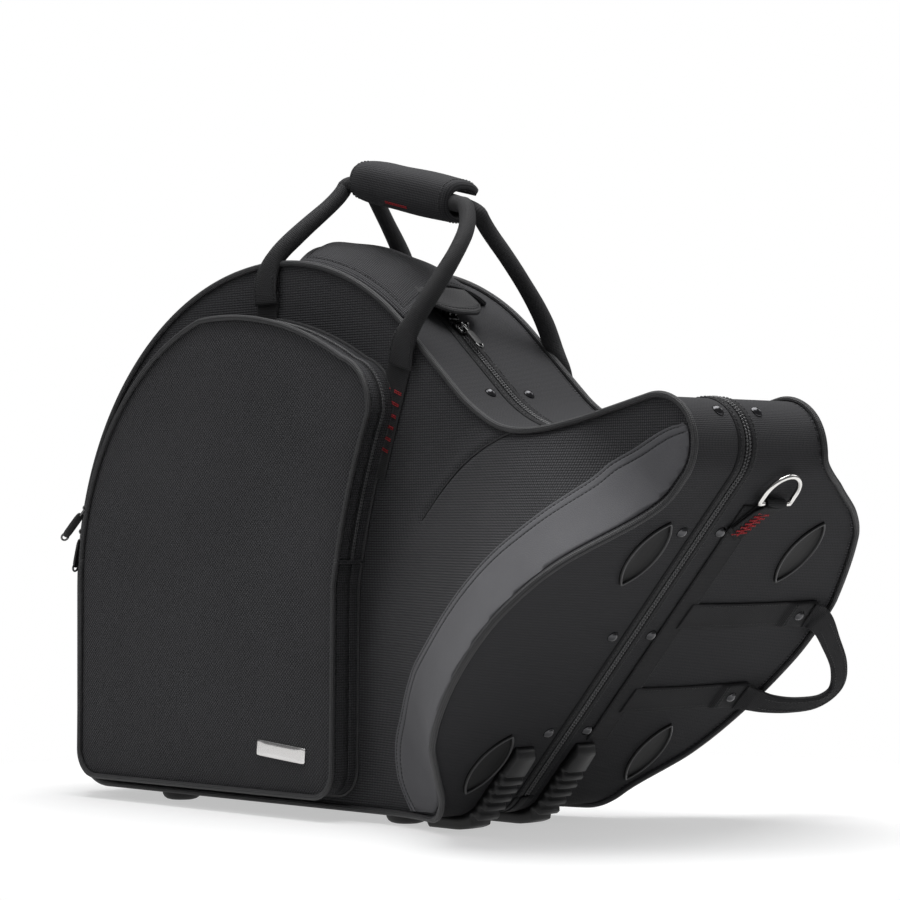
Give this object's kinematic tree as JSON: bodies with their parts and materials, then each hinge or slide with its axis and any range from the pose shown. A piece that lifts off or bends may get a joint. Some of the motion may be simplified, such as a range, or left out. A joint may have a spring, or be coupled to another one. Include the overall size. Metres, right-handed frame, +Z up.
{
  "type": "french horn case",
  "caption": "Soft-covered rigid case shaped to a horn and its bell, zipped round the middle, with a zipped front pocket, padded carrying handles, an end handle, rubber feet and skids.",
  "frame": {"origin": "centre of the bounding box, on the floor under the feet", "axes": "+X from the rounded end to the bell end, +Y from the pocket side to the back, +Z up"},
  "size_m": [0.7182, 0.4354, 0.529],
  "materials": {
    "shell_cloth": "ballistic twill over rigid foam",
    "plush": "short pile plush",
    "piping": "corded vinyl, satin",
    "zip_tape": "woven tape with moulded coil",
    "webbing": "woven nylon webbing",
    "stripe": "smooth coated cloth",
    "rubber": "moulded, matte",
    "plastic": "moulded, satin",
    "nickel": "nickel plated",
    "plate": "polished",
    "grip": "foam-backed neoprene",
    "zip_metal": "black enamel, worn at the edges"
  },
  "bodies": {
    "back_half": {"back_shell": "shell_cloth", "back_lining": "plush", "back_piping": "piping", "zip_tape_back": "zip_tape", "spine_tape_back": "zip_tape", "binding_strip": "webbing", "end_handle_straps": "webbing", "rivets_back": "nickel", "bumpers_back": "plastic", "skid_back": "plastic", "feet_back": "rubber", "back_handle_straps": "webbing", "ring_tab": "webbing", "top_flap": "shell_cloth", "valve_block": "plush", "throat_block": "plush", "horn_cuff": "webbing"},
    "lid": {"front_shell": "shell_cloth", "front_lining": "plush", "front_piping": "piping", "rim_stripe": "stripe", "zip_tape_front": "zip_tape", "spine_tape_front": "zip_tape", "rivets_front": "nickel", "bumpers_front": "plastic", "skid_front": "plastic", "feet_front": "rubber", "front_handle_straps": "webbing", "mouthpiece_holder": "plush", "lid_pad": "plush", "pocket_gusset": "shell_cloth", "pocket_front_lower": "shell_cloth", "pocket_zip_fixed": "zip_tape", "pocket_piping_lower": "piping", "name_plate_blank": "plate"},
    "pocket_flap": {"pocket_flap": "shell_cloth", "pocket_zip_moving": "zip_tape", "pocket_piping_upper": "piping"},
    "pocket_slider_upper": {"pocket_slider_upper": "zip_metal"},
    "pocket_pull_upper": {"pocket_pull_upper": "zip_metal"},
    "pocket_slider_lower": {"pocket_slider_lower": "zip_metal"},
    "pocket_pull_lower": {"pocket_pull_lower": "zip_metal"},
    "front_handle": {"front_handle": "webbing", "grip_wrap": "grip"},
    "back_handle": {"back_handle": "webbing"},
    "end_handle": {"end_handle_loop": "webbing"},
    "d_ring": {"d_ring": "nickel"},
    "flap_tongue": {"flap_tongue": "piping"},
    "zip_slider_left": {"zip_slider_left": "nickel"},
    "zip_pull_left": {"zip_pull_left": "zip_metal"},
    "zip_slider_right": {"zip_slider_right": "nickel"},
    "zip_pull_right": {"zip_pull_right": "zip_metal"}
  },
  "joints": [
    {"name": "lid_hinge", "type": "hinge", "parent": "back_half", "child": "lid", "pos_m": [0.04789, -0.0508, 0.011], "axis": [1, 0, 0], "range_deg": [0, 110]},
    {"name": "pocket_flap_hinge", "type": "hinge", "parent": "lid", "child": "pocket_flap", "pos_m": [-0.13511, -0.14113, 0.205], "axis": [1, 0, 0], "range_deg": [0, 120]},
    {"name": "pocket_slider_upper_travel", "type": "hinge", "parent": "pocket_flap", "child": "pocket_slider_upper", "pos_m": [-0.10547, -0.1208, 0.17735], "axis": [0, 1, 0], "range_deg": [0, 10]},
    {"name": "pocket_slider_lower_travel", "type": "hinge", "parent": "pocket_flap", "child": "pocket_slider_lower", "pos_m": [-0.10547, -0.1208, 0.17735], "axis": [0, 1, 0], "range_deg": [-2.5, 0]},
    {"name": "pocket_pull_upper_swing", "type": "hinge", "parent": "pocket_slider_upper", "child": "pocket_pull_upper", "pos_m": [-0.32606, -0.12491, 0.24737], "axis": [-0.6411, 0.7401, 0.203], "range_deg": [0, 110]},
    {"name": "pocket_pull_lower_swing", "type": "hinge", "parent": "pocket_slider_lower", "child": "pocket_pull_lower", "pos_m": [-0.33143, -0.12501, 0.22695], "axis": [-0.6739, 0.7239, 0.148], "range_deg": [0, 10]},
    {"name": "front_handle_swing", "type": "hinge", "parent": "lid", "child": "front_handle", "pos_m": [-0.08211, -0.119, 0.40889], "axis": [0.9327, 0, -0.3606], "range_deg": [0, 90]},
    {"name": "back_handle_swing", "type": "hinge", "parent": "back_half", "child": "back_handle", "pos_m": [-0.08811, 0.0414, 0.403], "axis": [0.9334, 0, -0.3588], "range_deg": [-130, 0]},
    {"name": "end_handle_swing", "type": "hinge", "parent": "back_half", "child": "end_handle", "pos_m": [0.20301, 0.1192, 0.09523], "axis": [-0.6542, -0.1589, -0.7394], "range_deg": [0, 95]},
    {"name": "d_ring_swing", "type": "hinge", "parent": "back_half", "child": "d_ring", "pos_m": [0.3361, 0.0002, 0.24853], "axis": [0, 1, 0], "range_deg": [0, 120]},
    {"name": "flap_tongue_lift", "type": "hinge", "parent": "back_half", "child": "flap_tongue", "pos_m": [0.03483, -0.0768, 0.41945], "axis": [0, -1, 0], "range_deg": [0, 70]},
    {"name": "zip_slider_left_travel", "type": "hinge", "parent": "back_half", "child": "zip_slider_left", "pos_m": [-0.08911, -0.0508, 0.2245], "axis": [0, -1, 0], "range_deg": [0, 18]},
    {"name": "zip_pull_left_swing", "type": "hinge", "parent": "zip_slider_left", "child": "zip_pull_left", "pos_m": [0.05009, -0.0508, 0.40076], "axis": [0, 1, 0], "range_deg": [0, 3]},
    {"name": "zip_slider_right_travel", "type": "slide", "parent": "back_half", "child": "zip_slider_right", "axis": [0.7431, 0, -0.6691], "range_m": [0, 0.06]},
    {"name": "zip_pull_right_swing", "type": "hinge", "parent": "zip_slider_right", "child": "zip_pull_right", "pos_m": [0.06341, -0.0508, 0.3894], "axis": [0, -1, 0], "range_deg": [0, 100]}
  ]
}
